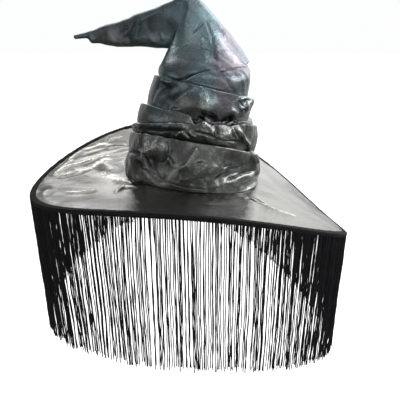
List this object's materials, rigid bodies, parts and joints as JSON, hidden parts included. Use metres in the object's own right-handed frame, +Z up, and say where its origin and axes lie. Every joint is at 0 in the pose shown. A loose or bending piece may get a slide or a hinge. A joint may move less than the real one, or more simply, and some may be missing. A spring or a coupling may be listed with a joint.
{
  "type": "pleated witch hat with fringe",
  "caption": "Crinkled dark taffeta witch hat: tucked crown, peak folded over to one side, wide saddle-shaped brim with a bound rim and a long black yarn fringe all the way round.",
  "frame": {"origin": "middle of the head opening, at the level where the crown sits on the brim", "axes": "+Z up out of the crown along the wearer's head, front of the hat towards -Y, +X to the right seen from the front"},
  "size_m": [0.4207, 0.418, 0.4889],
  "materials": {
    "crown_cloth": "glossy crinkled polyester taffeta, dark slate",
    "brim_cloth": "glossy stretched polyester taffeta, silver-black",
    "binding_tape": "folded black tape",
    "fringe_yarn": "black twisted yarn"
  },
  "bodies": {
    "root": {"crown": "crown_cloth", "peak": "crown_cloth", "brim": "brim_cloth", "brim_binding": "binding_tape", "fringe": "fringe_yarn"}
  },
  "joints": []
}
